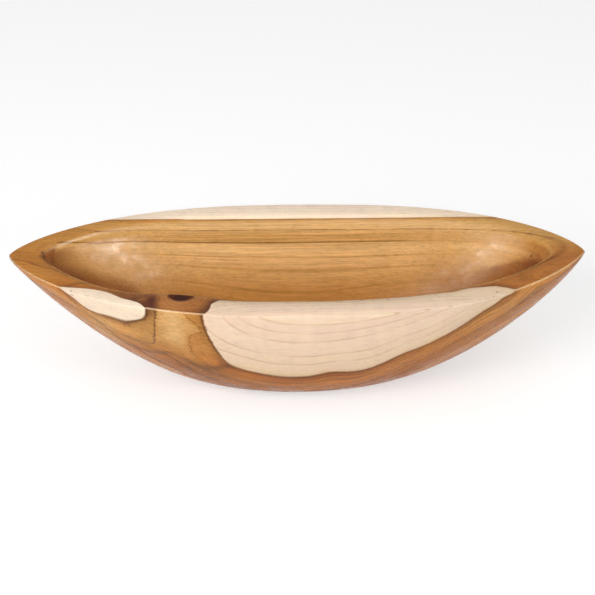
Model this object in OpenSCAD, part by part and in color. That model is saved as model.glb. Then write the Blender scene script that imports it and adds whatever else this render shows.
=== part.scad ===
// Boat-shaped dough bowl, carved by hand from one block of wood, with a dead knot in its near rim.
// X runs along the grain, Y across the bowl with the near side at -Y, and Z up from the table.

/* [Bowl] */
// Length from tip to tip, along the grain
bowl_length = 500; // [360:10:700]
// Width across the rim at mid length
bowl_width = 200; // [160:5:280]
// Height of the pointed tips above the table
tip_height = 115; // [90:1:160]
// How far the rim dips below the tips at mid length
rim_dip = 4; // [0:0.5:8]
// Radius of the eased outer edge of the rim
edge_radius = 1.5; // [0.5:0.25:3]

/* [Foot] */
// Length of the sanded flat that the bowl stands on
foot_length = 175; // [120:5:220]
// Width of the sanded flat
foot_width = 56; // [36:2:80]
// How far the flat lies off centre, towards the left tip
foot_shift = 2.5; // [0:0.5:10]

/* [Rim] */
// Width of the flat rim along the sides, at mid length
side_rim = 15; // [10:1:22]
// Length of the flat rim at the tips
tip_rim = 24; // [14:1:32]
// Width of the rounded shoulder from the flat rim into the hollow, along the sides
side_shoulder = 22; // [10:1:28]
// How far that shoulder drops before the wall is steepest
side_drop = 13; // [8:1:20]
// Radius from the flat rim into the hollow, at the tips
tip_rounding = 9; // [4:1:14]

/* [Hollow] */
// Thickness of the wood under the middle of the hollow
floor_thickness = 16; // [10:1:24]
// Length of the hollow's floor
floor_length = 150; // [100:5:190]
// Width of the hollow's floor
floor_width = 52; // [36:2:70]
// How much lower the floor's middle is than its edge
floor_dish = 2; // [0.5:0.5:5]

/* [Knot] */
// Radius of the dead knot
knot_radius = 10.5; // [6:0.5:12]
// How far the knot lies from mid length, towards the left tip
knot_shift = 98; // [60:1:130]
// How far the near wall swells into the hollow round the knot
knot_swell = 7; // [2:0.5:12]
// How far along the wall the swelling fades out, to either side of the knot
swell_reach = 34; // [24:2:50]

/* [Hidden] */

heartwood = "peru";
dead_wood = "saddlebrown";

half_length = bowl_length / 2;
half_width = bowl_width / 2;
foot_left = foot_length / 2 + foot_shift;
foot_right = foot_length / 2 - foot_shift;
floor_left = floor_length / 2 + foot_shift;
floor_right = floor_length / 2 - foot_shift;
floor_edge = floor_thickness + floor_dish;

// A plan is [half length to the left, half length to the right, half width].
rim_plan = [half_length, half_length, half_width];
foot_plan = [foot_left, foot_right, foot_width / 2];
mouth_inset = [tip_rim, tip_rim, side_rim];
floor_plan = [floor_left, floor_right, floor_width / 2];

// Fullness of a plan as [left, right], and how pointed each quarter is as [near, far]. 2 and 1 draw an ellipse.
rim_fullness_shares = [2.4, 2.65];
rim_point_shares = [[1.4, 1.45], [1.65, 1.38]];
mouth_fullness_shares = [3.5, 2.65];
mouth_point_shares = [[1.65, 1.5], [1.55, 0.9]];
// How soon a plan grows rounder as it goes down, as a power of the share of the depth.
rounding_off_share = 0.5;

// Each wall falls as a superellipse, [power inwards, power downwards]: the left stem, the right stem and the sides.
outer_wall_shares = [[1.45, 1.02], [1.46, 1.18], [2.5, 1.5]];
hollow_wall_shares = [[1.6, 1.1], [1.65, 1.2], [2.8, 1.7]];
// How far round the shoulder turns at the tips, as a share of its quarter turn along the sides.
tip_turn_share = 0.55;
// Power that spaces the rings evenly along the walls.
ring_spacing_share = 1.35;

// Points round each ring, and rings in each stretch of the skin from the foot round to the floor.
ring_points = 92;
outer_rings = 14;
edge_rings = 2;
shoulder_rings = 5;
hollow_rings = 12;
dish_rings = 2;

// Where the knot's round end is centred on the shoulder: the angle round it, from the flat rim.
knot_place_angle = 24;
// The branch rose this steeply as it left the heart of the tree.
branch_rise = 31;
// Length of dead branch that the block still held before it was hollowed, as a share of the bowl's width.
branch_length_share = 0.25;
branch_facets = 64;

function mix(a, b, share) = a + (b - a) * share;

// Height of the rim at a distance from mid length.
function rim_height(x) = tip_height - rim_dip * (1 - pow(min(abs(x) / half_length, 1), 2));

// How far the near wall stands into the hollow at a distance from mid length.
function swelling(x) = knot_swell * exp(-pow((x + knot_shift) / swell_reach, 2));

// Share of the way inwards at a share of the way down.
function inward(down, shares) = 1 - pow(max(1 - pow(down, shares[1]), 0), 1 / shares[0]);

// Share of the way down at which a ring of a wall lies: they crowd together at its top and foot.
function ring_down(index, count) = pow(sin(90 * index / count), ring_spacing_share);

// The plan of a wall's ring at a share of the way down.
function wall_plan(top, foot, down, shares) =
    [for (side = [0:2]) mix(top[side], foot[side], inward(down, shares[side]))];

// How far the shoulder has come in from the flat rim, and down as [tips, sides], at an angle round it.
function shoulder_inset(angle) =
    let (tip_inset = tip_rounding * sin(angle * tip_turn_share))
    [tip_inset, tip_inset, side_shoulder * sin(angle)];
function shoulder_depth(angle) =
    [tip_rounding * (1 - cos(angle * tip_turn_share)), side_drop * (1 - cos(angle))];

// One ring on its plan, with its depth under the rim as [tips, sides] and the height its wall goes down to.
function ring(plan, fullness, points, down, depth, bottom, swells) =
    let (rounder = pow(down, rounding_off_share))
    [for (index = [0:ring_points - 1])
        let (
            angle = 360 * index / ring_points,
            end = cos(angle) < 0 ? 0 : 1,
            side = sin(angle) < 0 ? 0 : 1,
            point = mix(points[end][side], 1, rounder),
            along = pow(abs(cos(angle)), mix(fullness[end], 2, rounder)),
            x = plan[end] * cos(angle),
            y = plan[2] * sign(sin(angle)) * pow(1 - along, point / 2),
            swell = swells && side == 0 ? swelling(x) * (1 - down) : 0,
            top = rim_height(x) - mix(depth[1], depth[0], along)
        )
        [x, y + swell, mix(top, bottom, down)]];

// A ring of the outside, and one of the hollow.
function outer_ring(plan, down, depth) =
    ring(plan, rim_fullness_shares, rim_point_shares, down, [depth, depth], 0, false);
function hollow_ring(plan, down, depth, bottom) =
    ring(plan, mouth_fullness_shares, mouth_point_shares, down, depth, bottom, true);

// The outside, from the foot up to the rim's edge.
outer_wall = [for (index = [outer_rings:-1:1])
    let (down = ring_down(index, outer_rings))
    outer_ring(wall_plan(rim_plan, foot_plan, down, outer_wall_shares), down, edge_radius)];

// The eased edge, from the outside over to the flat rim.
outer_edge = [for (index = [0:edge_rings])
    let (angle = 90 * index / edge_rings, inset = edge_radius * (1 - cos(angle)))
    outer_ring(rim_plan - [inset, inset, inset], 0, edge_radius * (1 - sin(angle)))];

// The shoulder, from the flat rim down to the steep wall of the hollow.
inner_shoulder = [for (index = [0:shoulder_rings])
    let (angle = 90 * index / shoulder_rings)
    hollow_ring(rim_plan - mouth_inset - shoulder_inset(angle), 0, shoulder_depth(angle), 0)];

// The hollow's wall, down to the edge of its floor.
hollow_wall = [for (index = [1:hollow_rings])
    let (top_plan = rim_plan - mouth_inset - shoulder_inset(90), down = ring_down(index, hollow_rings))
    hollow_ring(wall_plan(top_plan, floor_plan, down, hollow_wall_shares), down, shoulder_depth(90),
        floor_edge)];

// The dished floor, in towards its middle.
hollow_floor = [for (index = [1:dish_rings])
    let (out = 1 - index / (dish_rings + 1))
    hollow_ring(floor_plan * out, 1, [0, 0], floor_thickness + floor_dish * pow(out, 2))];

// A closed skin over the rings, flat under the first and drawn to one point inside the last.
module skin(rings, last_point) {
    count = len(rings);
    points = [for (one = rings) each one, last_point];
    function at(row, index) = row * ring_points + index % ring_points;
    walls = [for (row = [0:count - 2], index = [0:ring_points - 1]) each [
        [at(row, index), at(row + 1, index), at(row + 1, index + 1)],
        [at(row, index), at(row + 1, index + 1), at(row, index + 1)]
    ]];
    first = [for (index = [0:ring_points - 1]) index];
    last = [for (index = [0:ring_points - 1])
        [at(count - 1, index), count * ring_points, at(count - 1, index + 1)]];
    polyhedron(points = points, faces = [first, each walls, each last]);
}

// The carved block, with nothing taken out for the knot.
module carved_block() {
    skin([each outer_wall, each outer_edge, each inner_shoulder, each hollow_wall, each hollow_floor],
        [0, 0, floor_thickness]);
}

// The dead branch: its round end lies in the wood of the rim, and the rest ran back towards the tree's heart.
module dead_branch() {
    plan = rim_plan - mouth_inset - shoulder_inset(knot_place_angle);
    along = pow(knot_shift / plan[0], mouth_fullness_shares[0]);
    y = plan[2] * pow(1 - along, mouth_point_shares[0][0] / 2) - knot_swell;
    depth = shoulder_depth(knot_place_angle);
    z = rim_height(knot_shift) - mix(depth[1], depth[0], along);
    translate([-knot_shift, -y, z])
        rotate([branch_rise - 90, 0, 0]) {
            sphere(r = knot_radius, $fn = branch_facets);
            mirror([0, 0, 1])
                cylinder(r = knot_radius, h = bowl_width * branch_length_share, $fn = branch_facets);
        }
}

module bowl() {
    color(heartwood)
        difference() {
            carved_block();
            dead_branch();
        }
}

module knot() {
    color(dead_wood)
        intersection() {
            carved_block();
            dead_branch();
        }
}

bowl();
knot();
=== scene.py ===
"""Looks of a carved wooden dough bowl: the bowl, the dead knot in its rim, and a pale table in studio light.

Sizes are in millimetres in the classes and turned to metres where a mesh or light is made. X runs along the
grain, Y from the near rim to the far one, and Z up from the table.
"""
import logging
import math
from dataclasses import dataclass, field
from enum import Enum
from typing import Any, Iterator

import bmesh
import bpy
from mathutils import Matrix, Vector


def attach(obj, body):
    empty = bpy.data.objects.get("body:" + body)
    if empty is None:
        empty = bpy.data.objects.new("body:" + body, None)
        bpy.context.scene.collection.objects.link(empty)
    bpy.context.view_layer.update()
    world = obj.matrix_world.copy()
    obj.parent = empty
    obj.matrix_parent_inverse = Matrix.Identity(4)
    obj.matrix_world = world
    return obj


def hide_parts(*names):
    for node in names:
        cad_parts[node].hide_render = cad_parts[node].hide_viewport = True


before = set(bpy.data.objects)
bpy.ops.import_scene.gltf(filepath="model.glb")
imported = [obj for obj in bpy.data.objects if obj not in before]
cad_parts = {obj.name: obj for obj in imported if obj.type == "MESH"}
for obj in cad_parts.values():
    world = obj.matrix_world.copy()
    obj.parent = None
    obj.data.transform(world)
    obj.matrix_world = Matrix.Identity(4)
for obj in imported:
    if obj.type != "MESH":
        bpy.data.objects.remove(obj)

logging.basicConfig(level=logging.INFO, format="%(name)s: %(message)s")
log = logging.getLogger("dough_bowl")

MM = 0.001
WELD = 0.01 * MM
Pair = tuple[float, float]
Triple = tuple[float, float, float]
Socket = bpy.types.NodeSocket


def linear(code: str) -> tuple[float, float, float, float]:
    """Turns an sRGB hex colour into the linear values that a shader takes.

    Args:
        code: The colour as "#RRGGBB".

    Returns:
        Linear red, green and blue, and an alpha of 1.
    """
    parts = [int(code[at:at + 2], 16) / 255 for at in (1, 3, 5)]
    red, green, blue = (one / 12.92 if one <= 0.04045 else ((one + 0.055) / 1.055) ** 2.4 for one in parts)
    return red, green, blue, 1.0


def mix(start: float, end: float, share: float) -> float:
    """Returns the value that lies at a share of the way from start to end."""
    return start + (end - start) * share


class Skin(Enum):
    """Which skin of the bowl a ring lies in: how full its plan is, and how pointed each quarter of it is."""

    OUTSIDE = ((2.4, 2.65), ((1.4, 1.45), (1.65, 1.38)))
    HOLLOW = ((3.5, 2.65), ((1.65, 1.5), (1.55, 0.9)))

    @property
    def fullness(self) -> Pair:
        """How full the plan is, to the left and to the right."""
        return self.value[0]

    @property
    def points(self) -> tuple[Pair, Pair]:
        """How pointed the plan is, as the near and far quarter at the left, then at the right."""
        return self.value[1]


@dataclass(frozen=True)
class Ring:
    """One ring of the bowl's skin.

    Its plan is the half length to the left and to the right, and the half width. Down is the share of the
    wall's depth that it lies at, depth is how far it is under the rim at the tips and along the sides, and
    bottom is the height that its wall goes down to.
    """

    skin: Skin
    plan: Triple
    down: float = 0.0
    depth: Pair = (0.0, 0.0)
    bottom: float = 0.0


@dataclass(frozen=True)
class BowlForm:
    """The carved form, with the sizes of the part's source, in millimetres."""

    length: float = 500.0
    width: float = 200.0
    tip_height: float = 115.0
    rim_dip: float = 4.0
    edge_radius: float = 1.5
    foot: Triple = (90.0, 85.0, 28.0)
    mouth_inset: Triple = (24.0, 24.0, 15.0)
    side_shoulder: float = 22.0
    side_drop: float = 13.0
    tip_rounding: float = 9.0
    tip_turn: float = 0.55
    floor: Triple = (77.5, 72.5, 26.0)
    floor_thickness: float = 16.0
    floor_dish: float = 2.0
    rounding_off: float = 0.5
    ring_spacing: float = 1.35
    outer_wall: tuple[Pair, ...] = ((1.45, 1.02), (1.46, 1.18), (2.5, 1.5))
    hollow_wall: tuple[Pair, ...] = ((1.6, 1.1), (1.65, 1.2), (2.8, 1.7))
    knot_shift: float = 98.0
    knot_swell: float = 7.0
    swell_reach: float = 34.0

    @property
    def rim(self) -> Triple:
        """Plan of the rim's outer edge."""
        return self.length / 2, self.length / 2, self.width / 2

    def rim_height(self, x: float) -> float:
        """Returns the height of the rim at a distance from mid length."""
        return self.tip_height - self.rim_dip * (1 - min(abs(x) / (self.length / 2), 1) ** 2)

    def swelling(self, x: float) -> float:
        """Returns how far the near wall stands into the hollow at a distance from mid length."""
        return self.knot_swell * math.exp(-((x + self.knot_shift) / self.swell_reach) ** 2)

    @staticmethod
    def wall_plan(top: Triple, bottom: Triple, down: float, shares: tuple[Pair, ...]) -> Triple:
        """Works out the plan of a wall's ring.

        Args:
            top: Plan at the top of the wall.
            bottom: Plan at its foot.
            down: Share of the way down.
            shares: Powers inwards and downwards of the left stem, the right stem and the sides.

        Returns:
            The plan at that share of the way down.
        """
        inwards = [1 - max(1 - down ** fall, 0) ** (1 / come) for come, fall in shares]
        left, right, side = (mix(*ends, inward) for *ends, inward in zip(top, bottom, inwards))
        return left, right, side

    def shoulder(self, angle: float) -> tuple[Triple, Pair]:
        """Works out the rounded shoulder between the flat rim and the hollow.

        Args:
            angle: Angle round the shoulder from the flat rim, in radians.

        Returns:
            The plan there, and its depth under the rim at the tips and along the sides.
        """
        turn = angle * self.tip_turn
        insets = (self.tip_rounding * math.sin(turn),) * 2 + (self.side_shoulder * math.sin(angle),)
        sizes = zip(self.rim, self.mouth_inset, insets)
        left, right, side = (rim - inset - come for rim, inset, come in sizes)
        depth = (self.tip_rounding * (1 - math.cos(turn)), self.side_drop * (1 - math.cos(angle)))
        return (left, right, side), depth

    def place(self, ring: Ring, turn: float) -> Vector:
        """Works out a point of the skin.

        Args:
            ring: The ring that it lies in.
            turn: Share of a full turn round the ring, from the right tip.

        Returns:
            The point, in millimetres.
        """
        across, up = (round(value, 12) for value in (math.cos(turn * math.tau), math.sin(turn * math.tau)))
        end, side = int(across >= 0), int(up >= 0)
        rounder = ring.down ** self.rounding_off
        point = mix(ring.skin.points[end][side], 1, rounder)
        along = abs(across) ** mix(ring.skin.fullness[end], 2, rounder)
        x = ring.plan[end] * across
        y = math.copysign(ring.plan[2] * (1 - along) ** (point / 2), up)
        if ring.skin is Skin.HOLLOW and not side:
            y += self.swelling(x) * (1 - ring.down)
        top = self.rim_height(x) - mix(ring.depth[1], ring.depth[0], along)
        return Vector((x, y, mix(top, ring.bottom, ring.down)))


@dataclass(frozen=True)
class Branch:
    """The dead branch that left the knot: a rod with a round end that runs back to the heart of the tree."""

    tip: Triple = (-98.0, -64.0, 110.0)
    radius: float = 10.5
    rise: float = 31.0
    length: float = 50.0
    facets: int = 64
    arc_step: int = 6

    @property
    def axis(self) -> Triple:
        """Direction of the rod, from the heart of the tree outwards."""
        return 0.0, -math.cos(math.radians(self.rise)), math.sin(math.radians(self.rise))

    def build(self) -> bpy.types.Object:
        """Spins the rod's outline about its axis and lays it in the wood.

        Returns:
            The rod, as a closed shape to cut with.
        """
        shape = bmesh.new()
        arc = [math.radians(angle) for angle in range(90, -1, -self.arc_step)]
        outline = [Vector((self.radius * math.cos(turn), 0, self.radius * math.sin(turn))) for turn in arc]
        outline += [Vector((self.radius, 0, -self.length)), Vector((0, 0, -self.length))]
        verts = [shape.verts.new(point * MM) for point in outline]
        edges = [shape.edges.new(pair) for pair in zip(verts, verts[1:])]
        bmesh.ops.spin(shape, geom=verts + edges, axis=(0, 0, 1), cent=(0, 0, 0), angle=math.tau,
                       steps=self.facets, use_merge=True)
        bmesh.ops.remove_doubles(shape, verts=shape.verts, dist=WELD)
        lean = Matrix.Rotation(math.radians(90 - self.rise), 4, "X")
        bmesh.ops.transform(shape, matrix=Matrix.Translation(Vector(self.tip) * MM) @ lean, verts=shape.verts)
        bmesh.ops.recalc_face_normals(shape, faces=shape.faces)
        return to_object(shape, "branch_rod")


def to_object(shape: bmesh.types.BMesh, name: str) -> bpy.types.Object:
    """Puts a finished shape into the scene.

    Args:
        shape: The shape, in metres. It is freed.
        name: Name of the object and its mesh.

    Returns:
        The object, at the origin.
    """
    mesh = bpy.data.meshes.new(name)
    shape.to_mesh(mesh)
    shape.free()
    piece = bpy.data.objects.new(name, mesh)
    bpy.context.scene.collection.objects.link(piece)
    return piece


def cut(piece: bpy.types.Object, tool: bpy.types.Object, operation: str, name: str) -> bpy.types.Object:
    """Cuts one shape with another and keeps the result as a new piece.

    Args:
        piece: The shape that is cut. It stays as it is.
        tool: The shape that cuts.
        operation: DIFFERENCE or INTERSECT.
        name: Name of the new piece.

    Returns:
        The new piece.
    """
    modifier = piece.modifiers.new("cut", "BOOLEAN")
    modifier.object = tool
    modifier.operation = operation
    modifier.solver = "EXACT"
    bpy.context.view_layer.update()
    mesh = bpy.data.meshes.new_from_object(piece.evaluated_get(bpy.context.evaluated_depsgraph_get()))
    piece.modifiers.remove(modifier)
    mesh.name = name
    made = bpy.data.objects.new(name, mesh)
    bpy.context.scene.collection.objects.link(made)
    return made


@dataclass
class CarvedBlock:
    """The bowl and the dead knot that was carved with it."""

    form: BowlForm = field(default_factory=BowlForm)
    branch: Branch = field(default_factory=Branch)
    ring_points: int = 360
    foot_rings: int = 6
    outer_rings: int = 36
    edge_rings: int = 6
    shoulder_rings: int = 12
    hollow_rings: int = 36
    floor_rings: int = 8
    sharp_angle: float = 38.0

    def rings(self) -> Iterator[Ring]:
        """Works out the rings of the skin.

        Yields:
            The rings, from the middle of the foot round to the middle of the floor.
        """
        form = self.form
        steep = (form.edge_radius, form.edge_radius)
        for index in range(self.foot_rings):
            left, right, side = (size * index / self.foot_rings for size in form.foot)
            yield Ring(Skin.OUTSIDE, (left, right, side), down=1.0)
        for index in range(self.outer_rings, 0, -1):
            down = math.sin(math.pi / 2 * index / self.outer_rings) ** form.ring_spacing
            yield Ring(Skin.OUTSIDE, form.wall_plan(form.rim, form.foot, down, form.outer_wall), down, steep)
        for index in range(self.edge_rings + 1):
            angle = math.pi / 2 * index / self.edge_rings
            inset = form.edge_radius * (1 - math.cos(angle))
            left, right, side = (size - inset for size in form.rim)
            drop = form.edge_radius * (1 - math.sin(angle))
            yield Ring(Skin.OUTSIDE, (left, right, side), depth=(drop, drop))
        for index in range(self.shoulder_rings + 1):
            plan, depth = form.shoulder(math.pi / 2 * index / self.shoulder_rings)
            yield Ring(Skin.HOLLOW, plan, depth=depth)
        top, depth = form.shoulder(math.pi / 2)
        edge = form.floor_thickness + form.floor_dish
        for index in range(1, self.hollow_rings + 1):
            down = math.sin(math.pi / 2 * index / self.hollow_rings) ** form.ring_spacing
            plan = form.wall_plan(top, form.floor, down, form.hollow_wall)
            yield Ring(Skin.HOLLOW, plan, down, depth, edge)
        for index in range(1, self.floor_rings + 1):
            out = 1 - index / self.floor_rings
            left, right, side = (size * out for size in form.floor)
            bottom = form.floor_thickness + form.floor_dish * out ** 2
            yield Ring(Skin.HOLLOW, (left, right, side), 1.0, bottom=bottom)

    def build(self) -> tuple[bpy.types.Object, bpy.types.Object]:
        """Wraps a sheet of faces round the form and parts the knot from it.

        Returns:
            The bowl and the knot.
        """
        rings = list(self.rings())
        shape = bmesh.new()
        bmesh.ops.create_grid(shape, x_segments=self.ring_points, y_segments=len(rings) - 1, size=1.0)
        for vert in shape.verts:
            ring = rings[round((vert.co.y + 1) / 2 * (len(rings) - 1))]
            vert.co = self.form.place(ring, (vert.co.x + 1) / 2) * MM
        bmesh.ops.remove_doubles(shape, verts=shape.verts, dist=WELD)
        bmesh.ops.recalc_face_normals(shape, faces=shape.faces)
        block = to_object(shape, "whole_block")
        rod = self.branch.build()
        bowl = cut(block, rod, "DIFFERENCE", "carved_bowl")
        knot = cut(block, rod, "INTERSECT", "dead_knot")
        for spare in (block, rod):
            bpy.data.objects.remove(spare)
        for piece, node in ((bowl, "bowl"), (knot, "knot")):
            piece.data.polygons.foreach_set("use_smooth", [True] * len(piece.data.polygons))
            piece.data.set_sharp_from_angle(angle=math.radians(self.sharp_angle))
            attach(piece, "root")
            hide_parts(node)
        return bowl, knot


@dataclass(frozen=True)
class Ramp:
    """A value that goes from low to high while another goes from start to end, and is level beyond them."""

    of: Socket
    start: float
    end: float
    low: float = 0.0
    high: float = 1.0


@dataclass
class NodeBench:
    """A node tree under work."""

    tree: bpy.types.NodeTree

    @classmethod
    def clear(cls, owner: bpy.types.Material | bpy.types.World) -> "NodeBench":
        """Clears a material or a world for new nodes.

        Args:
            owner: The material or world.

        Returns:
            A bench for its nodes.
        """
        owner.use_nodes = True
        owner.node_tree.nodes.clear()
        return cls(owner.node_tree)

    def add(self, kind: str, *inputs: Any, out: str = "", named: dict[str, Any] | None = None,
            **settings: Any) -> Socket | None:
        """Adds a node with its settings and links.

        Args:
            kind: The node's type, without its leading ShaderNode, and after a colon its operation, if any.
            *inputs: What goes into its sockets in order: a socket, number, place, hex colour or ramp, or None
                to leave the socket. Where they outnumber the sockets, a second node of the same kind takes
                the first one's result and the rest, and so on.
            out: Name of the wanted output. The first is taken where there is no name.
            named: What goes into sockets by their names.
            **settings: Properties to set on the node; stops holds the places and colours of a colour ramp.

        Returns:
            The output socket, or None for a node with no outputs.
        """
        shape, _, operation = kind.partition(":")
        node = self.tree.nodes.new("ShaderNode" + shape)
        if operation:
            node.operation = operation
        for index, (at, code) in enumerate(settings.pop("stops", ())):
            elements = node.color_ramp.elements
            element = elements[index] if index < len(elements) else elements.new(1.0)
            element.position, element.color = at, linear(code)
        for name, value in settings.items():
            setattr(node, name, value)
        sockets = [one for one in node.inputs if one.enabled]
        by_name = [(node.inputs[name], value) for name, value in (named or {}).items()]
        for socket, value in [*zip(sockets, inputs), *by_name]:
            if isinstance(value, Ramp):
                value = self.add("MapRange", value.of, value.start, value.end, value.low, value.high)
            if isinstance(value, Socket):
                self.tree.links.new(value, socket)
            elif value is not None:
                socket.default_value = linear(value) if isinstance(value, str) else value
        result = node.outputs[out] if out else next((one for one in node.outputs if one.enabled), None)
        rest = inputs[len(sockets):]
        return self.add(kind, result, *rest, out=out, **settings) if rest else result

    def pattern(self, place: Socket, cell: Triple, detail: float = 2.0, roughness: float = 0.5,
                out: str = "") -> Socket:
        """Draws noise with the grain of a cell of the wood.

        Args:
            place: Where the wood is, in millimetres.
            cell: The cell's size along, across and up, in millimetres.
            detail: How many finer noises are laid over the first.
            roughness: How strong each of them is, beside the one before.
            out: Name of the wanted output.

        Returns:
            The noise, about one half on average.
        """
        cells = self.add("VectorMath:DIVIDE", place, cell)
        return self.add("TexNoise", cells, 1.0, detail, roughness, out=out)

    def distance(self, place: Socket, centre: Triple, size: Triple = (1.0, 1.0, 1.0)) -> Socket:
        """Draws how far a place is from a centre, in units of a size along each axis."""
        off = self.add("VectorMath:DIVIDE", self.add("VectorMath:SUBTRACT", place, centre), size)
        return self.add("VectorMath:LENGTH", off)

    def bell(self, off: Socket) -> Socket:
        """Draws a bell curve that is 1 where an offset is 0."""
        return self.add("Math:EXPONENT", self.add("Math:MULTIPLY", off, off, -1.0))

    def coat(self, colour: str | Socket, *coats: tuple[Socket | Ramp, str | Socket],
             blend: str = "MIX") -> Socket:
        """Lays coats of colour over a colour, one after another.

        Args:
            colour: The colour under them.
            *coats: The share and the colour of each.
            blend: How they go on: MIX covers what is under them, and MULTIPLY tints it.

        Returns:
            The colour on top.
        """
        for share, code in coats:
            colour = self.add("Mix", share, colour, code, data_type="RGBA", blend_type=blend)
        return colour


@dataclass(frozen=True)
class Wood:
    """The wood at a point of the surface, as sockets on a bench.

    Spot is its place in millimetres, place is the same with the grain's wander, and x, y and z are parts of
    place. Normal is the surface's, up and inwards are its Z and Y, and level and end_on are how far it faces
    up or down and along the bowl. Age is counted from the edge of the heartwood, and is below zero inside it.
    Trunk is the same with no branch in the way, and edge is the age as a distance to that edge. Fork is above
    zero where the branch's rings took over. Reach, along and across are the distance from the branch's axis,
    along it and to its right. Jags is a fine, broken noise.
    """

    bench: NodeBench
    spot: Socket
    place: Socket
    x: Socket
    y: Socket
    z: Socket
    normal: Socket
    up: Socket
    inwards: Socket
    level: Socket
    end_on: Socket
    age: Socket
    trunk: Socket
    edge: Socket
    fork: Socket
    reach: Socket
    along: Socket
    across: Socket
    jags: Socket


@dataclass(frozen=True)
class GrowthRings:
    """How the tree grew: the lie of the trunk's and branch's rings, fitted to the lines that the bowl shows.

    Ages are measured as the radius, in millimetres, that a ring has at mid length. The heart of the trunk and
    the taper are curves along the bowl: a value at mid length, and what a half length and its square add. A
    swelling has a centre, a reach and the age that it adds.
    """

    half_length: float = 250.0
    heart_y: Triple = (13.31, 1.39, 14.78)
    heart_z: Triple = (38.73, -8.04, -41.1)
    taper: Triple = (1.0, -0.052, -0.175)
    lean: float = 0.1625
    squash: float = 0.868
    heartwood_age: float = 94.3
    branch_tip: Triple = (-95.6, -64.0, 110.5)
    branch_axis: Triple = (-0.088, -0.576, 0.813)
    branch_pace: float = 0.344
    branch_flare: float = 0.51
    branch_heartwood: float = 40.0
    fork_softness: Pair = (24.0, 3.0)
    swellings: tuple[tuple[Triple, float, float], ...] = (
        ((-176.0, -61.0, 93.0), 15.0, 6.0), ((-138.0, -71.0, 112.0), 14.0, -9.0),
        ((-143.0, -75.0, 88.0), 19.0, 3.0), ((188.0, -40.0, 113.0), 16.0, -5.0),
        ((172.0, -71.0, 108.0), 7.0, -2.0),
    )
    wave_length: float = 63.0
    wave_start: float = 24.0
    wander: Triple = (0.0, 3.0, 3.0)
    wander_cell: Triple = (180.0, 60.0, 60.0)
    jag_cell: Triple = (3.2, 2.6, 2.6)

    def draw(self, bench: NodeBench) -> Wood:
        """Draws the wood at each point of the surface.

        Args:
            bench: The material's nodes.

        Returns:
            The wood.
        """
        add = bench.add
        spot = add("VectorMath:SCALE", add("TexCoord", out="Object"), 1 / MM)
        wavy = add("VectorMath:SUBTRACT", bench.pattern(spot, self.wander_cell, out="Color"), (0.5, 0.5, 0.5))
        place = add("VectorMath:MULTIPLY_ADD", wavy, self.wander, spot)
        x, y, z = (add("SeparateXYZ", place, out=axis) for axis in "XYZ")
        u = add("Math:DIVIDE", x, self.half_length)
        curves = [add("Math:MULTIPLY_ADD", u, add("Math:MULTIPLY_ADD", u, curve, bend), start)
                  for start, bend, curve in (self.heart_y, self.heart_z, self.taper)]
        above = add("Math:SUBTRACT", z, curves[1])
        leaning = add("Math:MULTIPLY_ADD", above, self.lean, add("Math:SUBTRACT", y, curves[0]))
        out = add("VectorMath:LENGTH", add("CombineXYZ", leaning, add("Math:MULTIPLY", above, self.squash)))
        trunk = add("Math:MULTIPLY_ADD", out, curves[2], -self.heartwood_age)
        near_edge = Ramp(add("Math:ABSOLUTE", trunk), 3, 13, 1, 0)
        trunk = add("Math:MULTIPLY_ADD", self.waver(bench, place, x, y), near_edge, trunk)
        trunk = add("Math:MULTIPLY_ADD", Ramp(x, -178, -214, 0, -7), Ramp(y, -12, 8), trunk)

        # The branch's rings are cones round its axis. Where they meet the trunk's, the older wood shows.
        from_tip = add("VectorMath:SUBTRACT", place, self.branch_tip)
        along = add("VectorMath:DOT_PRODUCT", from_tip, self.branch_axis)
        reach = add("VectorMath:LENGTH", add("VectorMath:CROSS_PRODUCT", from_tip, self.branch_axis))
        pinch = add("Math:MULTIPLY", Ramp(x, -95, -72, 0, 9), Ramp(z, 100, 106), Ramp(y, -94, -80))
        pull = add("Math:MULTIPLY", Ramp(z, 99, 111, 1.4, -1.6), Ramp(z, 82, 96),
                   Ramp(x, -100, -115), Ramp(y, -74, -84))
        cone = add("Math:ADD", add("Math:MULTIPLY_ADD", along, self.branch_flare, reach), pinch, pull)
        branch = add("Math:MULTIPLY", add("Math:SUBTRACT", cone, self.branch_heartwood), self.branch_pace)
        soft = Ramp(x, self.branch_tip[0] - 12, self.branch_tip[0] + 8, *self.fork_softness)
        age = add("Math:SMOOTH_MIN", trunk, branch, soft)
        fork = add("Math:SUBTRACT", trunk, branch)
        beside = add("SeparateXYZ", from_tip, out="X")
        normal = add("TexCoord", out="Normal")
        end_on, inwards, up = (add("SeparateXYZ", normal, out=axis) for axis in "XYZ")
        return Wood(
            bench=bench, spot=spot, place=place, x=x, y=y, z=z,
            normal=normal, up=up, inwards=inwards,
            level=add("Math:ABSOLUTE", up), end_on=add("Math:ABSOLUTE", end_on),
            age=age, trunk=trunk,
            edge=add("Math:MULTIPLY", age, Ramp(fork, 0, 3, 1, 1 / self.branch_pace)),
            fork=add("Math:ADD", Ramp(x, -108, -148, 0, 22), fork),
            reach=reach, along=along,
            across=add("Math:MULTIPLY_ADD", along, -self.branch_axis[0], beside),
            jags=bench.pattern(place, self.jag_cell, 3.0, 0.6),
        )

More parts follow.
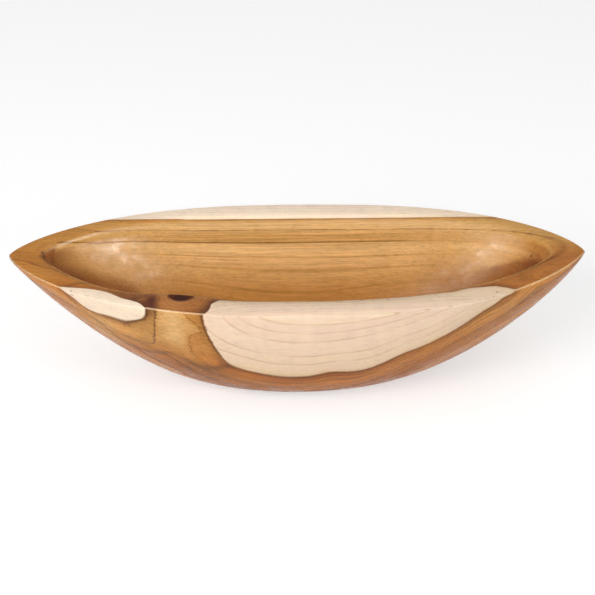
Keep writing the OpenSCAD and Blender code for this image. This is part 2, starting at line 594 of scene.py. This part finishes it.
    def waver(self, bench: NodeBench, place: Socket, x: Socket, y: Socket) -> Socket:
        """Draws how the near rings waver: thicker sapwood at the left, waves and a thinner tip at the right.

        Args:
            bench: The material's nodes.
            place: Where the wood is, in millimetres.
            x: Its place along the bowl.
            y: Its place across.

        Returns:
            What to add to the trunk's age.
        """
        add = bench.add
        turn = add("Math:MULTIPLY", add("Math:SUBTRACT", x, self.wave_start), math.tau / self.wave_length)
        wave = add("Math:MULTIPLY", add("Math:COSINE", turn), Ramp(x, 0, 30, 0, -1))
        slow = add("Math:ADD", Ramp(x, 25, 75, 0, 2.9), Ramp(x, -80, -60, 0, -1.6))
        slow = add("Math:MULTIPLY", slow, Ramp(x, 100, 118, 1, 0))
        end = add("Math:MULTIPLY", Ramp(x, 128, 142), Ramp(x, 165, 187, 1, 0), Ramp(y, -70, -60, 0, 4.4))
        wave = add("Math:ADD", wave, Ramp(x, 140, 185, 0, -4.5), slow, end)
        for centre, reach, change in self.swellings:
            swell = bench.bell(bench.distance(place, centre, (reach,) * 3))
            wave = add("Math:MULTIPLY_ADD", swell, change, wave)
        return add("Math:MULTIPLY", Ramp(y, -20, -50), wave)


@dataclass(frozen=True)
class RingColours:
    """The wood's colours from one ring to the next: ages in millimetres of radius, and sRGB colours."""

    stops: tuple[tuple[float, str], ...]

    def draw(self, bench: NodeBench, age: Socket) -> Socket:
        """Draws the colour of the rings.

        Args:
            bench: The material's nodes.
            age: The wood's age, as the stops give it.

        Returns:
            The colour.
        """
        start, end = self.stops[0][0], self.stops[-1][0]
        stops = [((at - start) / (end - start), code) for at, code in self.stops]
        return bench.add("ValToRGB", Ramp(age, start, end), stops=stops)


# Heartwood, from the tree's heart out to the sapwood: a year ends in a dark line a millimetre or less wide.
HEARTWOOD = RingColours((
    (-95.0, "#AC773A"), (-80.0, "#B57E40"), (-70.0, "#C28B4A"), (-66.3, "#A77236"), (-65.7, "#C0894A"),
    (-54.0, "#CE9754"), (-52.3, "#B67F40"), (-51.7, "#CC9554"), (-42.0, "#D39F5D"), (-40.0, "#BA8343"),
    (-39.3, "#D29B5B"), (-33.0, "#DBA665"), (-31.5, "#BE8744"), (-30.9, "#D9A462"), (-26.0, "#E1AF6E"),
    (-21.7, "#D4A15F"), (-21.3, "#6E3B0E"), (-21.0, "#6E3B0E"), (-20.6, "#C38D4A"), (-16.0, "#C38D49"),
    (-12.1, "#C7914E"), (-11.6, "#9E672A"), (-11.2, "#CE9959"), (-5.0, "#D19D5D"), (-1.4, "#BD8443"),
    (-0.9, "#885627"), (0.0, "#835327"),
))
# Sapwood, from the heartwood out to the bark: cream, then pinkish with thin tan lines, and cream again.
SAPWOOD = RingColours((
    (0.0, "#E8CA9E"), (2.0, "#F3DCBA"), (5.2, "#F5E0C4"), (5.7, "#DAB890"), (6.0, "#F4DDC0"),
    (8.8, "#F4DEC4"), (9.3, "#D9B792"), (9.6, "#F3DCC4"), (14.3, "#F4DFC8"), (14.9, "#DBBA98"),
    (15.2, "#F2DBC5"), (17.6, "#F2DCC6"), (18.1, "#DAB896"), (18.4, "#F1D9C4"), (20.7, "#F2DBC6"),
    (21.2, "#D6B48C"), (21.5, "#F6E2C4"), (22.6, "#F9E8CE"), (27.1, "#F5E2CA"), (27.6, "#DAB997"),
    (27.9, "#F0D8C3"), (34.0, "#EFD7C2"),
))


@dataclass(frozen=True)
class OiledTeak:
    """Teak cut near the bark, sanded and oiled: satin brown heartwood with dark rings, and cream sapwood.

    The oil gives a soft, wide gloss over a fine open grain; the rings are a few millimetres apart, and the
    pores show as short dark dashes along the fibres. The cells of the patterns are in millimetres along,
    across and up. Dark and light zones are ramps between two places, ages or slopes, matched to the photo;
    some are painted shade and painted highlight, as marked where they are drawn. A speck has a place and a
    darkness, a patch a place, a size and a change of light, and the collar, the dark wood beside the knot, a
    place and a size. A shaded corner is painted shade low in an end of the hollow: a slope, and the ranges
    of height and length in which it sets in. Outwards turns a place at the rim to the way out of the bowl.
    """

    rings: GrowthRings = field(default_factory=GrowthRings)
    branch: Branch = field(default_factory=Branch)
    roughness: float = 0.3
    gloss: float = 0.21
    streak_cell: Triple = (70.0, 2.6, 2.6)
    fibre_cell: Triple = (16.0, 0.9, 0.9)
    pore_cell: Triple = (7.0, 0.8, 0.8)
    tool_cell: Triple = (24.0, 30.0, 30.0)
    curl_cell: Triple = (9.0, 30.0, 30.0)
    scuff_cell: Triple = (12.0, 12.0, 9.0)
    year_cell: Triple = (120.0, 1.2, 1.0)
    fade_cell: Triple = (130.0, 22.0, 22.0)
    dot_cell: Triple = (11.0, 30.0, 30.0)
    cloud_cell: Triple = (90.0, 16.0, 16.0)
    break_cell: Triple = (34.0, 12.0, 12.0)
    swirl_cell: Triple = (22.0, 9.0, 9.0)
    wisp_cell: Triple = (14.0, 2.2, 2.2)
    specks: tuple[tuple[Triple, float], ...] = (
        ((207.1, 17.5, 100.1), 0.9), ((164.7, -66.6, 112.7), 0.5), ((-188.9, -60.2, 109.3), 0.45),
        ((-189.7, -59.5, 113.0), 0.4),
    )
    patches: tuple[tuple[Triple, Triple, float], ...] = (
        ((-146.0, -70.0, 82.0), (19.0, 14.0, 11.0), 0.36), ((-80.0, -73.0, 42.0), (34.0, 20.0, 14.0), -0.3),
    )
    shaded_corners: tuple[tuple[float, Pair, Pair], ...] = (
        (0.55, (-21.0, -13.0), (-135.0, -150.0)), (-0.53, (-13.2, -9.8), (155.0, 178.0)),
    )
    collar: tuple[Triple, Triple] = ((-122.0, -76.0, 112.0), (7.0, 18.0, 10.0))
    pale_spot: Triple = (-165.0, -58.0, 78.0)
    outwards: Triple = (0.0016, 0.01, 0.0)
    strong_ring: float = -21.0
    thin_ring: float = -11.6
    arc_spacing: float = 3.4
    crowd_reach: float = 28.0
    crowding: float = 1.78

    def make(self) -> bpy.types.Material:
        """Builds the material.

        Returns:
            The material.
        """
        material = bpy.data.materials.new("oiled_teak")
        bench = NodeBench.clear(material)
        add = bench.add
        wood = self.rings.draw(bench)
        streak = bench.pattern(wood.place, self.streak_cell, 4.0, 0.6)
        fibre = bench.pattern(wood.place, self.fibre_cell, 3.0, 0.6)
        pores = bench.pattern(wood.place, self.pore_cell, 1.0)
        curl = bench.pattern(wood.spot, self.curl_cell)
        tool = bench.pattern(wood.spot, self.tool_cell)
        scuffs = bench.pattern(wood.spot, self.scuff_cell, 4.0, 0.65)

        worn_and_highlit = self.pale_edge_and_highlight(wood)
        old = self.colour_knot(wood, self.oil_and_painted_shade(wood, self.colour_heartwood(wood)))
        # The rim's outer edge is paler: sanding wear, and a painted highlight on the rounded edge.
        old = bench.coat(self.stain(wood, old), (worn_and_highlit, "#F0D0A4"))
        # To the right of the knot the heartwood's edge is torn.
        torn = add("Math:MULTIPLY", Ramp(wood.jags, 0.3, 0.7, -0.6, 0.6), Ramp(wood.x, -95, -85),
                   Ramp(wood.x, -66, -58, 1, 0), Ramp(wood.y, -60, -75), Ramp(wood.z, 108, 98, 0.2, 1))
        sap = add("MapRange", add("Math:ADD", torn, wood.edge), -0.4, 0.4)
        colour = bench.coat(old, (sap, self.colour_sapwood(wood, worn_and_highlit)))
        grain = add("Math:ADD", streak, fibre, -1.0, Ramp(pores, 0.6, 0.72, 0, -0.36))
        # Bands of curl across the grain make the wood a little lighter and darker: a painted shimmer.
        light = Ramp(curl, 0, 1, 0.94, 1.06)
        light = add("Math:MULTIPLY_ADD", grain, Ramp(sap, 0, 1, 0.52, 0.16), light)
        colour = add("HueSaturation", 0.5, 1.0, light, 1.0, colour)
        for centre, deep in self.specks:
            dark = Ramp(bench.distance(wood.spot, centre), 0.6, 1.5, deep, 0)
            colour = bench.coat(colour, (dark, "#4A2C14"))

        normal = None
        for strength, height, relief in ((0.6, 1.0, tool), (0.5, 0.25, curl), (0.35, 0.06, fibre)):
            normal = add("Bump", strength, height * MM, None, relief, normal)
        rough = add("Math:ADD", Ramp(fibre, 0.3, 0.7, self.roughness - 0.06, self.roughness + 0.1),
                    Ramp(scuffs, 0.38, 0.62, -0.09, 0.12))
        sockets = {"Roughness": rough, "Specular IOR Level": self.gloss, "Normal": normal}
        add("OutputMaterial", add("BsdfPrincipled", colour, named=sockets))
        return material

    def pale_edge_and_highlight(self, wood: Wood) -> Socket:
        """Draws the narrow band at the rim's outer edge: pale from sanding, and a painted highlight where the
        rounded edge catches the light.

        Args:
            wood: The wood.

        Returns:
            How pale it is, from 0 to 1.
        """
        add = wood.bench.add
        outward = add("VectorMath:MULTIPLY", wood.place, self.outwards)
        outward = add("VectorMath:DOT_PRODUCT", outward, wood.normal)
        return add("Math:MULTIPLY", Ramp(outward, 0.05, 0.15), Ramp(wood.z, 106, 107, 0, 0.4),
                   Ramp(wood.up, 0.1, 0.3), Ramp(wood.up, 0.9, 0.97, 1, 0))

    def colour_heartwood(self, wood: Wood) -> Socket:
        """Colours the heartwood: year rings that come and go along the grain, over fine lines beside them.

        Args:
            wood: The wood.

        Returns:
            The heartwood's colour.
        """
        bench, age, y = wood.bench, wood.age, wood.y
        add = bench.add
        far = add("MapRange", add("Math:ABSOLUTE", wood.x), 95.0, 140.0, 0.0, 0.85)
        strong = add("Math:ABSOLUTE", add("Math:SUBTRACT", age, self.strong_ring))
        # Even is how far the rings fade to plain wood.
        even = add("Math:MAXIMUM", Ramp(bench.pattern(wood.place, self.fade_cell), 0.35, 0.65, 0, 0.5),
                   add("Math:MULTIPLY", far, Ramp(age, -28, -23, 1, 0)))
        even = add("Math:MULTIPLY", even, Ramp(strong, 0.8, 2, 0.25, 1))
        flat = add("MapRange", wood.level, 0.97, 0.995)
        right = add("Math:MULTIPLY", Ramp(strong, 1.5, 3, 0.85, 0),
                    add("Math:MAXIMUM", Ramp(wood.x, 80, 120), flat))
        soft = add("Math:MULTIPLY", Ramp(age, -1.6, -1, 0, 0.6), Ramp(y, -20, -40))
        colour = bench.coat(HEARTWOOD.draw(bench, age), (add("Math:MAXIMUM", even, right, soft), "#CE9752"))

        years = bench.pattern(add("CombineXYZ", wood.x, age), self.year_cell, 3.0, 0.6)
        smooth = add("Math:MULTIPLY_ADD", add("Math:MULTIPLY", far, Ramp(wood.up, 0, 0.3)), -0.75, 1.0)
        plain = add("Math:MULTIPLY_ADD", Ramp(age, -9, -4, 0, -0.7), Ramp(y, 0, 20), 1.0)
        deep = add("Math:MULTIPLY", Ramp(age, -45, -18, 0.35, 1), smooth, plain)
        value = add("Math:MULTIPLY_ADD", Ramp(years, 0.25, 0.75, 0.36, -0.36), deep, 1.0)
        colour = add("HueSaturation", 0.5, 1.0, value, 1.0, colour)
        thin = add("Math:ABSOLUTE", add("Math:SUBTRACT", age, self.thin_ring))
        thin = add("Math:MULTIPLY", Ramp(thin, 0.2, 0.55, 0.75, 0), Ramp(flat, 0, 1, 1, 0.3),
                   Ramp(bench.pattern(wood.place, self.dot_cell, 2.0, 0.6), 0.4, 0.55))
        return bench.coat(colour, (thin, "#7A4A1E"))

    def oil_and_painted_shade(self, wood: Wood, colour: Socket) -> Socket:
        """Darkens and deepens the heartwood: as oil does at the tips and on end grain, partly with painted
        shade towards the bottom, and with painted shade on the flat rim, along the near side and in the ends
        of the hollow.

        Args:
            wood: The wood.
            colour: The heartwood's colour.

        Returns:
            The darkened colour, deeper and richer where more oil went in and where shade is painted.
        """
        bench, end_on = wood.bench, wood.end_on
        add = bench.add
        x, y, z = (add("SeparateXYZ", wood.spot, out=axis) for axis in "XYZ")
        inner = add("MapRange", wood.up, 0.0, 0.2)
        level = add("MapRange", wood.level, 0.88, 0.99)
        walls = add("Math:MULTIPLY", Ramp(z, 100, 80), inner)
        beside = add("Mix", walls, y, add("Math:ABSOLUTE", y), data_type="FLOAT")
        # Darker towards the bottom and on the near side: partly darker wood, partly painted shade.
        height = add("Math:MAXIMUM", add("Math:MULTIPLY_ADD", beside, 0.5, z), Ramp(inner, 0, 1, -20, 45))
        end_grain = add("Math:MULTIPLY", Ramp(add("Math:POWER", end_on, 2.0), 0, 0.6, 0, 0.7),
                        Ramp(inner, 0, 1, 1, 0.35))
        # Painted shade: faces that look up, the flat rim, are darker, most on the near side and most of all
        # at the near right.
        flat = add("Math:MULTIPLY_ADD", Ramp(x, 90, 150), Ramp(y, -10, 20, 0.1, -0.2),
                   Ramp(y, -10, 20, 0.42, 0.25))
        depth = add("Math:ADD", Ramp(height, -20, 100, 1.7, 0.86), end_grain,
                    add("Math:MULTIPLY", level, flat),
                    Ramp(bench.distance(wood.spot, self.pale_spot), 10, 34, -0.35, 0),
                    Ramp(add("Math:ABSOLUTE", x), 170, 245, 0, 0.1))

        # Painted shade over darker end grain: the steep ends of the hollow and the crease at its left tip
        # darken, less near the rim at the right.
        lip = add("Math:MULTIPLY_ADD", Ramp(z, 99, 107, 0, -0.65), Ramp(x, 150, 200), 1.0)
        tip = add("Math:MULTIPLY", Ramp(end_on, 0.1, 0.5), Ramp(x, -209, -213))
        steep = add("Math:MULTIPLY", add("Math:MAXIMUM", Ramp(end_on, 0.56, 0.77), tip), inner, lip)
        # Painted shade low in the right end of the hollow, and on the near flat rim, weaker at the left tip.
        low = add("Math:MULTIPLY", Ramp(z, 86, 62), Ramp(x, 105, 150), inner)
        near = add("Math:MULTIPLY", level, Ramp(y, -10, 20, 1, 0), Ramp(x, -215, -198, 0.2, 1))
        # Multiplied on: painted shade on the steep ends, a warm painted tint on faces that look up, and the
        # two painted shades above.
        coats = [(steep, "#B39576"), (level, "#FFFCE6"), (low, "#D6C3AE"), (near, "#F0E6D2")]
        # Painted shade low in each end of the hollow, under a slanting line.
        for slope, down, out in self.shaded_corners:
            deep = add("Math:MULTIPLY", Ramp(add("Math:MULTIPLY_ADD", x, slope, z), *down, 1, 0),
                       Ramp(x, *out), inner, Ramp(wood.level, 0.8, 0.9, 1, 0))
            coats.append((deep, "#CEB8A8"))
        return bench.coat(add("Gamma", colour, depth), *coats, blend="MULTIPLY")

    def colour_knot(self, wood: Wood, colour: Socket) -> Socket:
        """Colours the heartwood that grew round the branch.

        Args:
            wood: The wood.
            colour: The heartwood's colour.

        Returns:
            The colour with the branch in it.
        """
        bench, along, reach, y, jags = wood.bench, wood.along, wood.reach, wood.y, wood.jags
        add = bench.add
        swirls = add("Math:ADD", bench.pattern(wood.place, self.swirl_cell, 4.0, 0.6),
                     bench.pattern(wood.place, self.wisp_cell, 3.0, 0.6), -0.5)
        bend = add("Math:MULTIPLY_ADD", jags, 7.0, add("Math:MULTIPLY_ADD", swirls, 3.0, -5.0))
        across = add("Math:ADD", wood.across, bend)
        inside = add("Math:MULTIPLY", Ramp(wood.fork, -2, 3), Ramp(across, -95, -45))
        # Left and right are the distances to the dark lines that bound the gold wood under the knot.
        left = add("Math:SMOOTH_MAX", add("Math:MULTIPLY_ADD", along, -0.163, add("Math:ADD", across, 23.6)),
                   add("Math:MULTIPLY_ADD", along, -1.0, -26.0), 6.0)
        left = add("Math:ADD", left, Ramp(jags, 0, 1, 1.75, -1.75))
        lower = add("Math:POWER", add("Math:ADD", along, 17.0), 2.0)
        bow = add("Math:SUBTRACT", across, add("Math:MULTIPLY_ADD", lower, 0.02, 2.7))
        arc = add("Math:MULTIPLY_ADD", along, 0.9, add("Math:SUBTRACT", across, 17.5))
        right = add("Mix", Ramp(along, -4, 2), bow, arc, data_type="FLOAT")

        glow = add("Math:MULTIPLY", bench.bell(add("Math:DIVIDE", add("Math:ADD", across, 8.0), 9.0)),
                   Ramp(along, -22, -12, 0, 0.75))
        below = add("Math:MULTIPLY", Ramp(along, -14, -24, 0, 0.6), Ramp(across, -10, -17))
        gold = bench.coat("#B57734", (swirls, "#DCAC69"), (glow, "#E2B77B"), (below, "#A87038"))
        tawny = bench.coat("#A06C2E", (swirls, "#CC9856"))
        russet = bench.coat("#A66828", (swirls, "#CE934C"))
        top = add("Math:MULTIPLY", Ramp(wood.level, 0.7, 0.95, 0, 0.85), Ramp(wood.z, 95, 105))
        grown = bench.coat(gold, (Ramp(left, 3, -2), tawny), (Ramp(right, -5, 1.5), russet),
                           (top, "#B46E2E"))
        share = add("Math:MULTIPLY", inside, Ramp(along, -18, -40, 0.88, 0.1))
        colour = bench.coat(colour, (share, grown))

        side = add("Math:MULTIPLY", inside, Ramp(top, 0, 1, 1, 0), Ramp(along, -34, -22, 0.2, 1))
        rim_line = add("Math:ADD", wood.edge, Ramp(jags, 0, 1, -0.9, 2.1))
        for off, wide, deep, code in ((left, 1.2, 0.8, "#5E3410"), (right, 1.1, 0.6, "#70400F"),
                                      (rim_line, 1.5, 0.85, "#6A3A10")):
            line = add("Math:MULTIPLY", Ramp(add("Math:ABSOLUTE", off), 0.2, wide, deep, 0), side)
            colour = bench.coat(colour, (line, code))
        # The crease is where both kinds of ring meet. The rest is the red-brown wood close to the knot.
        crease = add("Math:MULTIPLY", Ramp(add("Math:ABSOLUTE", wood.fork), 0.3, 1.6, 0.5, 0),
                     Ramp(y, -10, -30))
        near_knot = add("Math:MULTIPLY", Ramp(reach, 40, 70, 1, 0), Ramp(wood.level, 0.7, 0.9),
                        Ramp(wood.z, 95, 105))
        turn = add("Math:MULTIPLY_ADD", reach, math.tau / self.arc_spacing, add("Math:MULTIPLY", jags, 5.0))
        arcs = add("Math:MULTIPLY", Ramp(add("Math:SINE", turn), 0, 1, 0, 0.35),
                   Ramp(reach, 18, 26, 1, 0), near_knot)
        border = add("Math:MULTIPLY", Ramp(add("Math:ADD", bend, wood.edge), -13, -2, 0, 0.8),
                     Ramp(y, -54, -60), near_knot)
        lobe = add("Math:MULTIPLY_ADD", bend, 0.1, bench.distance(wood.place, *self.collar))
        off = add("VectorMath:SUBTRACT", wood.place, self.branch.tip)
        ahead = add("Math:MINIMUM", add("VectorMath:DOT_PRODUCT", off, self.branch.axis), 0.0)
        off = add("VectorMath:SUBTRACT", off, add("VectorMath:SCALE", self.branch.axis, ahead))
        off = add("Math:MULTIPLY_ADD", jags, 2.0, add("VectorMath:LENGTH", off))
        fringe = add("Math:MULTIPLY", Ramp(off, 11.5, 13.5, 0.85, 0), Ramp(y, -54, -58))
        return bench.coat(colour, (crease, "#6A3F1C"), (arcs, "#7A3F18"), (border, "#4A1C0A"),
                          (Ramp(lobe, 0.3, 1.3, 0.95, 0), "#56220E"), (fringe, "#3E1A0C"))

    def stain(self, wood: Wood, colour: Socket) -> Socket:
        """Darkens the heartwood in a band under the near sapwood, and lays its paler and darker patches.

        Args:
            wood: The wood.
            colour: The heartwood's colour.

        Returns:
            The stained colour.
        """
        bench = wood.bench
        band = bench.add("Math:MULTIPLY", Ramp(wood.edge, -5, -0.8, 0, 0.35), Ramp(wood.y, -40, -60),
                         Ramp(wood.level, 0.8, 0.95, 1, 0))
        colour = bench.coat(colour, (band, "#B09A60"), blend="MULTIPLY")
        shades = [Ramp(bench.distance(wood.spot, centre, size), 0.3, 1.2, change, 0)
                  for centre, size, change in self.patches]
        return bench.add("HueSaturation", 0.5, 1.0, bench.add("Math:ADD", 1.0, *shades), 1.0, colour)

    def colour_sapwood(self, wood: Wood, worn_and_highlit: Socket) -> Socket:
        """Colours the sapwood: rings that bend round the branch, fainter along the flat rim. Painted light
        brightens faces that look up and the far shoulder; painted shade darkens the near shoulder and the
        rim's outer edge towards the ends.

        Args:
            wood: The wood.
            worn_and_highlit: How pale the rim's outer edge is, from sanding and a painted highlight.

        Returns:
            The sapwood's colour.
        """
        bench, x, y, level = wood.bench, wood.x, wood.y, wood.level
        add = bench.add
        crowd = add("Math:EXPONENT", add("Math:DIVIDE", wood.reach, -self.crowd_reach))
        bent = add("Math:MULTIPLY", wood.trunk, add("Math:MULTIPLY_ADD", crowd, -self.crowding, 1.0))
        clouds = Ramp(bench.pattern(wood.place, self.cloud_cell, 3.0, 0.55), 0.35, 0.65)
        even = bench.coat("#F6E2C6", (clouds, "#F0D6C0"))
        plain = add("Math:MAXIMUM", Ramp(level, 0.75, 0.98, 0.1, 0.25), Ramp(x, -100, -115, 0, 0.8),
                    Ramp(bench.pattern(wood.place, self.break_cell), 0.4, 0.65, 0, 0.75))
        right = add("Math:MULTIPLY", Ramp(x, -115, -90), Ramp(y, 0, -30))
        colour = bench.coat(SAPWOOD.draw(bench, bent), (plain, even))
        colour = bench.coat(colour, (right, "#F6EEE8"), blend="MULTIPLY")

        lens = add("Math:MULTIPLY", Ramp(bent, 16, 18.4, -0.03, 0.11), Ramp(level, 0.9, 0.99))
        # Painted shade: the near shoulder, where the rim turns down into the hollow, is darker.
        lens = add("Math:ADD", lens, Ramp(y, -86, -76, 0, -0.1))
        near = add("Math:MULTIPLY_ADD", lens, right, Ramp(right, 0, 1, 0.97, 1))
        # Painted highlight: the far shoulder is lighter where it turns to face the front.
        far = add("Math:MULTIPLY_ADD", Ramp(wood.inwards, -0.06, -0.2, 0, 0.12), Ramp(y, 0, 10), 1.0)
        value = add("Mix", Ramp(y, 0, -10), far, near, data_type="FLOAT")
        # Painted shade dims the rim's outer edge towards the ends, and painted light brightens faces that
        # look up.
        ends = add("Math:MULTIPLY", worn_and_highlit, Ramp(add("Math:ABSOLUTE", x), 20, 90, 0, -0.4))
        value = add("Math:ADD", value, Ramp(level, 0.9, 0.99, 0, 0.09), ends)
        return add("HueSaturation", 0.5, 1.0, value, 1.0, colour)


@dataclass(frozen=True)
class DeadKnotWood:
    """Dead knot wood: resin-dark, almost black, with a brown border, sanded flush and oiled with the rest."""

    branch: Branch = field(default_factory=Branch)
    border: float = 6.0
    roughness: float = 0.6
    gloss: float = 0.05

    def make(self) -> bpy.types.Material:
        """Builds the material.

        Returns:
            The material.
        """
        material = bpy.data.materials.new("dead_knot_wood")
        bench = NodeBench.clear(material)
        place = bench.add("VectorMath:SCALE", bench.add("TexCoord", out="Object"), 1 / MM)
        off = bench.add("VectorMath:SUBTRACT", place, self.branch.tip)
        reach = bench.add("VectorMath:LENGTH", bench.add("VectorMath:CROSS_PRODUCT", off, self.branch.axis))
        bark = Ramp(reach, self.branch.radius - self.border, self.branch.radius)
        sockets = {"Roughness": self.roughness, "Specular IOR Level": self.gloss}
        colour = bench.coat("#42201A", (bark, "#66300F"))
        bench.add("OutputMaterial", bench.add("BsdfPrincipled", colour, named=sockets))
        return material


@dataclass(frozen=True)
class Lamp:
    """A square lamp of the studio. One that doesn't light the wood shows only in its gloss."""

    name: str
    place: Triple
    size: float
    power: float
    lights_wood: bool = False

    def hang(self, target: Triple) -> None:
        """Hangs the lamp in its place.

        Args:
            target: The place that it shines at, in millimetres.
        """
        light = bpy.data.lights.new(self.name, "AREA")
        light.size = self.size * MM
        light.energy = self.power
        hung = bpy.data.objects.new(self.name, light)
        hung.visible_diffuse = self.lights_wood
        hung.location = Vector(self.place) * MM
        hung.rotation_euler = (Vector(target) - Vector(self.place)).to_track_quat("-Z", "Y").to_euler()
        bpy.context.scene.collection.objects.link(hung)


@dataclass(frozen=True)
class Studio:
    """A white table in soft light, seen from the front and above."""

    table_side: float = 6000.0
    world_strength: float = 0.5
    table_glow: float = 0.5
    wall_share: float = 0.3
    distance: float = 1300.0
    target: Triple = (-0.17, 0.0, 69.53)
    elevation: float = 30.692
    yaw: float = 0.833
    lens: float = 89.02
    sensor_width: float = 36.0
    lamp_target: Triple = (0.0, 0.0, 60.0)
    lamps: tuple[Lamp, ...] = (
        Lamp("key_lamp", (-1100.0, -1250.0, 1000.0), 1100.0, 25.0, lights_wood=True),
        Lamp("side_lamp", (1200.0, -850.0, 600.0), 450.0, 6.5, lights_wood=True),
        Lamp("right_sheen", (790.0, -1110.0, 380.0), 380.0, 13.0),
        Lamp("left_sheen", (-840.0, -1180.0, 420.0), 380.0, 7.0),
        Lamp("back_sheen", (400.0, 480.0, 1450.0), 420.0, 11.5),
        Lamp("top_sheen", (-560.0, -420.0, 1350.0), 420.0, 10.0),
    )

    def build(self) -> None:
        """Lays the table, sets the surroundings, hangs the lamps and places the camera."""
        self.lay_table()
        self.surround()
        for lamp in self.lamps:
            lamp.hang(self.lamp_target)
        self.place_camera()

    def lay_table(self) -> None:
        """Lays the table top: matt white card, with a glow that only the camera, glosses and glass see."""
        shape = bmesh.new()
        bmesh.ops.create_grid(shape, x_segments=1, y_segments=1, size=self.table_side / 2 * MM)
        table = to_object(shape, "table_top")
        material = bpy.data.materials.new("white_card")
        bench = NodeBench.clear(material)
        card = bench.add("BsdfDiffuse", "#CFCFCF")
        strength = bench.add("Math:MULTIPLY", self.seen(bench, 1.0), self.table_glow)
        glow = bench.add("Emission", "#FFFFFF", strength)
        bench.add("OutputMaterial", bench.add("AddShader", card, glow))
        table.data.materials.append(material)

    @staticmethod
    def seen(bench: NodeBench, mirrored: float | Socket) -> Socket:
        """Draws how much of a thing that lights nothing each ray sees.

        Args:
            bench: The nodes to draw with.
            mirrored: Share of it that glosses and glass see.

        Returns:
            The share, which is 1 for the camera and 0 for light that bounces softly.
        """
        rays = ("Is Camera Ray", "Is Glossy Ray", "Is Transmission Ray")
        camera, glossy, glass = (bench.add("LightPath", out=ray) for ray in rays)
        bounced = bench.add("Math:MULTIPLY", bench.add("Math:MAXIMUM", glossy, glass), mirrored)
        return bench.add("Math:MAXIMUM", camera, bounced)

    def surround(self) -> None:
        """Sets the white surroundings, which glosses see bright only low down, and dimmer behind the bowl."""
        world = bpy.data.worlds.new("studio")
        bpy.context.scene.world = world
        bench = NodeBench.clear(world)
        way = bench.add("TexCoord", out="Generated")
        ahead, up = (bench.add("SeparateXYZ", way, out=axis) for axis in "YZ")
        wall = bench.add("Math:MULTIPLY", Ramp(ahead, 0.6, 0.9), Ramp(up, 0.45, 0.3),
                         bench.add("LightPath", out="Is Glossy Ray"))
        strength = Ramp(wall, 0, 1, self.world_strength, self.world_strength * self.wall_share)
        backdrop = bench.add("Math:MULTIPLY", Ramp(up, 0.05, 0.25, 1, 0), Ramp(ahead, 0.6, 0.9, 1, 0.2))
        lit = bench.add("Background", "#FFFFFF", strength)
        shown = bench.add("Background", "#FFFFFF", 1.0)
        bench.add("OutputWorld", bench.add("MixShader", self.seen(bench, backdrop), lit, shown))

    def place_camera(self) -> None:
        """Places the camera at the photograph's viewing angle."""
        rise, yaw = math.radians(self.elevation), math.radians(self.yaw)
        ahead = Vector((math.sin(yaw) * math.cos(rise), math.cos(yaw) * math.cos(rise), -math.sin(rise)))
        lens = bpy.data.cameras.new("camera")
        lens.lens = self.lens
        lens.sensor_width = self.sensor_width
        camera = bpy.data.objects.new("camera", lens)
        camera.location = (Vector(self.target) - ahead * self.distance) * MM
        camera.rotation_euler = ahead.to_track_quat("-Z", "Y").to_euler()
        bpy.context.scene.collection.objects.link(camera)
        bpy.context.scene.camera = camera


def main() -> None:
    """Builds the bowl, its knot and the studio, and dresses them."""
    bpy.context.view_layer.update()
    wood, dead_wood = OiledTeak().make(), DeadKnotWood().make()
    bowl, knot = CarvedBlock().build()
    for piece, finish in ((bowl, wood), (knot, dead_wood)):
        piece.data.materials.clear()
        piece.data.materials.append(finish)
        log.info("%s: %d faces, finish %s", piece.name, len(piece.data.polygons), finish.name)
    Studio().build()
    bpy.context.scene.view_settings.view_transform = "Standard"


if __name__ == "__main__":
    main()
